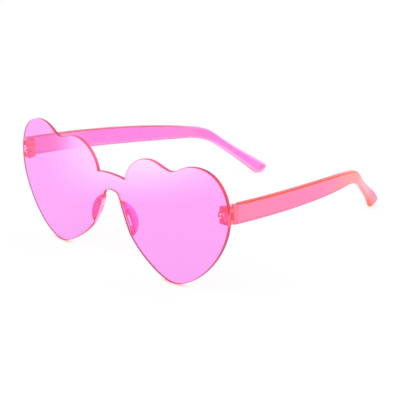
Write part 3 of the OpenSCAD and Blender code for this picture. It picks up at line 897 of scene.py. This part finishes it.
class BUILD_OT_lens(bpy.types.Operator):
    """Build the heart shaped lens with its two peg holes"""
    bl_idname = "sunglasses.build_lens"
    bl_label = "Build Lens"

    def execute(self, context):
        lens, hinge = context.scene.lens_settings, context.scene.hinge_settings
        half = lens.width / 2
        top, low = (chain(shares, half, lens.height) for shares in (LENS_TOP, LENS_LOW))
        top, low = (np.vstack([p[:0:-1] * (-1, 1), p]) for p in (top, low))
        top, low = same_columns(top, low, lens.columns)

        def surface(along, height, depth):
            """x along, z up, y on a circle about a vertical line behind the lens."""
            return np.stack([along, lens_depth(lens, along, depth), height], -1)

        points, faces, shares = cut_sheet(top, low, lens.thick, lambda along: lens.edge + 0 * along, surface)
        piece = mesh_object("lens", points, faces, **shares)
        for side in (-1, 1):
            rod, rod_faces = drum(hinge.peg, -SHORT_REACH, REACH, (0, 0, 0))
            x, y, z = rod.T
            rod = np.column_stack([x + side * (half - hinge.block_in - hinge.peg_in), z, y + hinge.height])
            carve(piece, mesh_object("peg_drill", rod, rod_faces))
        finish_piece(piece, lens_materials(lens), "front", "lens_shield")
        return {"FINISHED"}


class BUILD_OT_temples(bpy.types.Operator):
    """Build both temples with their knuckles"""
    bl_idname = "sunglasses.build_temples"
    bl_label = "Build Temples"

    def execute(self, context):
        scene = context.scene
        temple, lens, hinge = scene.temple_settings, scene.lens_settings, scene.hinge_settings
        size = np.array((temple.length, -temple.drop))
        outer_x = lens.width / 2 + temple.proud
        pin_y = pin_depth(lens, hinge)
        front = lens_depth(lens, lens.width / 2 - hinge.block_in, lens.thick + hinge.plate) + hinge.gap
        start = np.array((front, hinge.height + temple.rise))
        top, low = (start + chain(shares, *size) for shares in (TEMPLE_TOP, TEMPLE_LOW))
        top, low = same_columns(top, low, temple.columns)
        heel = start + TEMPLE_LOW[7] * size
        neck = (np.array(TEMPLE_TOP[9]) - TEMPLE_TOP[6]) * size
        neck /= np.linalg.norm(neck)

        def rise(share, low, high):
            """0 to 1 as the share goes from low to high: 3 t^2 - 2 t^3."""
            t = ((share - low) / (high - low)).clip(0, 1)
            return t * t * (3 - 2 * t)

        def edge(along):
            share = (along - front) / temple.length
            return temple.edge + (temple.edge_tip - temple.edge) * rise(share, *ROUND_GROWS)

        for side, name in ((1, "left"), (-1, "right")):

            def surface(along, height, depth):
                """y along, z up, x on a circle about a vertical line inside the arm, less the bow, and
                with the paddle leaning out by its distance from its lower edge."""
                share = (along - front) / temple.length
                x = outer_x - temple.radius + np.sqrt((temple.radius - depth) ** 2 - (along - front) ** 2)
                above = (height - heel[1]) * neck[0] - (along - heel[0]) * neck[1]
                x -= temple.bow * rise(share, *BOW_GROWS)
                x += math.tan(temple.twist) * above * rise(share, *LEAN_GROWS)
                return np.stack([side * x, along, height], -1)

            points, faces, shares = cut_sheet(top, low, temple.thick, edge, surface, rows=6)
            piece = mesh_object("temple_" + name, points, faces, **shares)
            pin = (side * PIN.x, pin_y, hinge.height)
            half = hinge.middle / 2
            for low_end, high_end in ((half, REACH), (-REACH, -half)):
                carve(piece, mesh_object("recess", *drum(hinge.knuckle + hinge.gap, low_end, high_end, pin)))
            ends = sorted((side * PIN.x, side * (outer_x - temple.thick / 2)))
            bar = brick((ends[0], front, hinge.height - half),
                        (ends[1], pin_y + hinge.knuckle, hinge.height + half))
            carve(piece, mesh_object("bar", *bar), "UNION")
            carve(piece, mesh_object("knuckle", *drum(hinge.knuckle, -half, half, pin)), "UNION")
            carve(piece, mesh_object("bore", *drum(hinge.bore, -SHORT_REACH, SHORT_REACH, pin, 48)))
            finish_piece(piece, temple_materials(temple, name), name + "_temple", "temple_" + name)
        return {"FINISHED"}


class BUILD_OT_pads(bpy.types.Operator):
    """Build both nose pads"""
    bl_idname = "sunglasses.build_pads"
    bl_label = "Build Nose Pads"

    def execute(self, context):
        pad, lens = context.scene.pad_settings, context.scene.lens_settings
        low, high = (np.array(LENS_LOW[k]) * (lens.width / 2, lens.height) for k in (6, 3))
        slope = math.atan2(low[0] - high[0], high[1] - low[1])
        middle = ((low + high) / 2 + np.array([math.cos(slope), math.sin(slope)]) * pad.width / 2
                  + np.array([math.sin(slope), -math.cos(slope)]) * pad.down)
        depth = lens_depth(lens, middle[0], lens.thick) + pad.glue
        place = (Matrix.Translation((middle[0], depth, middle[1]))
                 @ Matrix.Rotation(math.asin(middle[0] / lens.radius), 4, "Z")
                 @ Matrix.Rotation(-slope, 4, "Y") @ Matrix.Translation((pad.inset - pad.width / 2, 0, 0)))
        cut = Matrix.Translation((pad.slot_in, 0, -pad.slot_down)) @ Matrix.Rotation(pad.slot_turn, 4, "Z")
        points, faces = self.body(pad)
        for side, name in ((1, "left"), (-1, "right")):
            piece = mesh_object("nose_pad_" + name, points, faces)
            slot = mesh_object("slot", *slot_tool(pad.slot_width, pad.slot_length))
            slot.data.transform(cut)
            carve(piece, slot)
            mirror = Matrix.Diagonal((side, 1, 1, 1))
            piece.data.transform(mirror @ place)
            if side < 0:
                piece.data.flip_normals()
            material = pad_material(pad, name, at_rest() @ mirror @ place)
            finish_piece(piece, [material], "front", "nose_pad_" + name, sharp=50)
        return {"FINISHED"}

    def body(self, pad):
        """The section carried along the pad: its width and depth follow the boundary and the ridge,
        and its depth runs out at both ends as sqrt(1 - t^2). The places along it are closest at the
        ends, as minus half the cosine of even steps."""
        stations = -0.5 * np.cos(np.linspace(0, math.pi, PAD_SECTIONS + 2)[1:-1])
        outer, deep = chain(PAD_OUTER, 1, 1), chain(PAD_DEPTH, 1, 1)
        width = np.interp(stations, outer[:, 1], outer[:, 0]).clip(PAD_LEAST)
        depth = np.interp(stations, deep[:, 0], deep[:, 1])
        ends = np.sqrt(np.clip(1 - (2 * stations) ** 2, 0, 1)).clip(0, PAD_END) / PAD_END
        section = chain(PAD_SECTION, 1, 1)[::CURVE_STEPS // PAD_POINTS][:-1]
        x = section[:, 0] * width[:, None] * pad.width
        y = section[:, 1] * (depth * ends)[:, None] * pad.depth
        rings = np.stack([x, y, stations[:, None] * pad.length + 0 * x], -1)
        return np.vstack([rings.reshape(-1, 3), rings[[0, -1]].mean(1)]), ring_faces(*x.shape)


class BUILD_OT_hinges(bpy.types.Operator):
    """Soften the hinge blocks, and finish them and the screws"""
    bl_idname = "sunglasses.build_hinges"
    bl_label = "Build Hinges"

    def execute(self, context):
        hinge, lens = context.scene.hinge_settings, context.scene.lens_settings
        steel = steel_material(hinge)
        for side, name in ((1, "left"), (-1, "right")):
            mesh = frame["nodes"]["end_piece_" + name].data.copy()
            mesh.name = "hinge_block_" + name
            piece = bpy.data.objects.new(mesh.name, mesh)
            context.scene.collection.objects.link(piece)
            weld = piece.modifiers.new("weld", "WELD")
            weld.merge_threshold = MERGE
            settled(piece)
            bevel = piece.modifiers.new("soften", "BEVEL")
            bevel.width, bevel.segments, bevel.harden_normals = hinge.soften, 2, False
            bevel.limit_method, bevel.angle_limit = "ANGLE", math.radians(40)
            settled(piece)
            peg = (side * (lens.width / 2 - hinge.block_in - hinge.peg_in + hinge.glint_out), 0, hinge.height)
            matrix = at_rest() @ Matrix.Translation(peg) @ Matrix.Diagonal((side, 1, 1, 1))
            material = block_material(hinge, name, matrix)
            dress_piece(piece, [material], "front", "end_piece_" + name, sharp=60)
            screw = frame["nodes"]["hinge_screw_" + name]
            screw.data.materials.clear()
            screw.data.materials.append(steel)
        return {"FINISHED"}


def seen_by_camera(tree):
    """1 for what the camera sees, straight, mirrored or through clear plastic, and 0 for all else."""
    path = node(tree, "ShaderNodeLightPath")
    seen = Number(tree, path.outputs["Is Camera Ray"]).larger(path.outputs["Is Glossy Ray"])
    return seen.larger(path.outputs["Is Transmission Ray"])


class BUILD_OT_stage(bpy.types.Operator):
    """Set up the floor, the light and the camera"""
    bl_idname = "sunglasses.build_stage"
    bl_label = "Build Stage"

    def execute(self, context):
        scene, stage = context.scene, context.scene.stage_settings
        scene.view_settings.view_transform = "Standard"
        self.floor(scene, stage)
        self.sky(scene, stage)
        for name, place, size, power in LAMPS:
            self.lamp(scene, name, place, size, power * stage.key)
        self.camera(scene, stage)
        return {"FINISHED"}

    def floor(self, scene, stage):
        """A wide square with its top at height zero. It looks white but for the glasses' shadow and for a
        painted pink contact shade where they touch it, which is stronger at their front."""
        half = stage.floor / 2
        mesh = bpy.data.meshes.new("floor")
        corners = [(-half, -half, 0), (half, -half, 0), (half, half, 0), (-half, half, 0)]
        mesh.from_pydata(corners, [], [(0, 1, 2, 3)])
        floor = bpy.data.objects.new("floor", mesh)
        scene.collection.objects.link(floor)
        material = bpy.data.materials.new("white_paper")
        material.use_nodes = True
        tree = material.node_tree
        paper = tree.nodes["Principled BSDF"]
        put(tree, paper.inputs["Base Color"], stage.paper)
        paper.inputs["Roughness"].default_value = 1.0
        paper.inputs["Specular IOR Level"].default_value = 0.0
        # Painted pink contact shade: ambient occlusion close under the glasses, stronger at their front
        close = Number(tree, node(tree, "ShaderNodeAmbientOcclusion", {"Distance": stage.touch_reach},
                                  samples=16).outputs["AO"]).band((1.0, 0.0))
        front = split(tree, here(tree))[1].band(CONTACT_SHADE_FRONT)
        painted_contact_shade = close * (front * (1 - stage.touch_back) + stage.touch_back)
        light = node(tree, "ShaderNodeEmission", {
            "Color": mix_colour(tree, painted_contact_shade, WHITE, stage.touch), "Strength": 1.0})
        blend = node(tree, "ShaderNodeMixShader", {
            0: seen_by_camera(tree) * (1 - stage.shade), 1: paper.outputs[0], 2: light.outputs[0]})
        put(tree, tree.nodes["Material Output"].inputs["Surface"], blend.outputs[0])
        mesh.materials.append(material)

    def sky(self, scene, stage):
        """Even light from all round, seen as plain white."""
        world = bpy.data.worlds.new("studio")
        world.use_nodes = True
        tree = world.node_tree
        tree.nodes.clear()
        level = seen_by_camera(tree) * (1 - stage.sky) + stage.sky
        back = node(tree, "ShaderNodeBackground", {"Color": WHITE, "Strength": level})
        put(tree, node(tree, "ShaderNodeOutputWorld").inputs["Surface"], back.outputs[0])
        scene.world = world

    def lamp(self, scene, name, place, size, power):
        """A square soft box that faces the object."""
        data = bpy.data.lights.new(name, "AREA")
        data.shape, data.size, data.energy = "SQUARE", size, power
        lamp = bpy.data.objects.new(name, data)
        lamp.location = place
        lamp.rotation_euler = (-Vector(place)).to_track_quat("-Z", "Y").to_euler()
        scene.collection.objects.link(lamp)

    def camera(self, scene, stage):
        """The camera stands where the bridge falls on its given place in the picture, at the given
        depth: it is found back from that point along the camera's own axes."""
        a, e, r = stage.azimuth, stage.elevation, stage.roll
        back = Vector((math.sin(a) * math.cos(e), -math.cos(a) * math.cos(e), math.sin(e)))
        level = Vector((math.cos(a), math.sin(a), 0))
        upright = back.cross(level)
        right = math.cos(r) * level + math.sin(r) * upright
        up = -math.sin(r) * level + math.cos(r) * upright
        data = bpy.data.cameras.new("view")
        data.lens, data.sensor_width, data.clip_end = stage.focal, 36.0, 100.0
        spread = stage.depth * data.sensor_width / stage.focal
        place = (Vector((0, 0, stage.level)) - right * (stage.column - 0.5) * spread
                 + up * (stage.row - 0.5) * spread + back * stage.depth)
        turn = Matrix((right, up, back)).transposed().to_4x4()
        camera = bpy.data.objects.new("view", data)
        camera.matrix_world = at_rest() @ Matrix.Translation(place) @ turn
        scene.collection.objects.link(camera)
        scene.camera = camera


class VIEW3D_PT_sunglasses(bpy.types.Panel):
    """Lists the operators that build the glasses, and their settings"""
    bl_label = "Sunglasses"
    bl_idname = "VIEW3D_PT_sunglasses"
    bl_space_type = "VIEW_3D"
    bl_region_type = "UI"
    bl_category = "Sunglasses"

    def draw(self, context):
        for operator in OPERATORS:
            self.layout.operator(operator.bl_idname)
        for name, kind in SETTINGS.items():
            box = self.layout.box()
            for key in kind.__annotations__:
                box.prop(getattr(context.scene, name), key)


SETTINGS = {
    "lens_settings": LensSettings,
    "temple_settings": TempleSettings,
    "pad_settings": PadSettings,
    "hinge_settings": HingeSettings,
    "stage_settings": StageSettings,
}
OPERATORS = (BUILD_OT_stage, BUILD_OT_lens, BUILD_OT_temples, BUILD_OT_pads, BUILD_OT_hinges)


def register():
    for kind in (*SETTINGS.values(), *OPERATORS, VIEW3D_PT_sunglasses):
        bpy.utils.register_class(kind)
    for name, kind in SETTINGS.items():
        setattr(bpy.types.Scene, name, PointerProperty(type=kind))


def unregister():
    for name in SETTINGS:
        delattr(bpy.types.Scene, name)
    for kind in (VIEW3D_PT_sunglasses, *reversed(OPERATORS), *reversed(list(SETTINGS.values()))):
        bpy.utils.unregister_class(kind)


def main():
    register()
    bpy.ops.sunglasses.build_stage()
    bpy.ops.sunglasses.build_lens()
    bpy.ops.sunglasses.build_temples()
    bpy.ops.sunglasses.build_pads()
    bpy.ops.sunglasses.build_hinges()


if __name__ == "__main__":
    main()
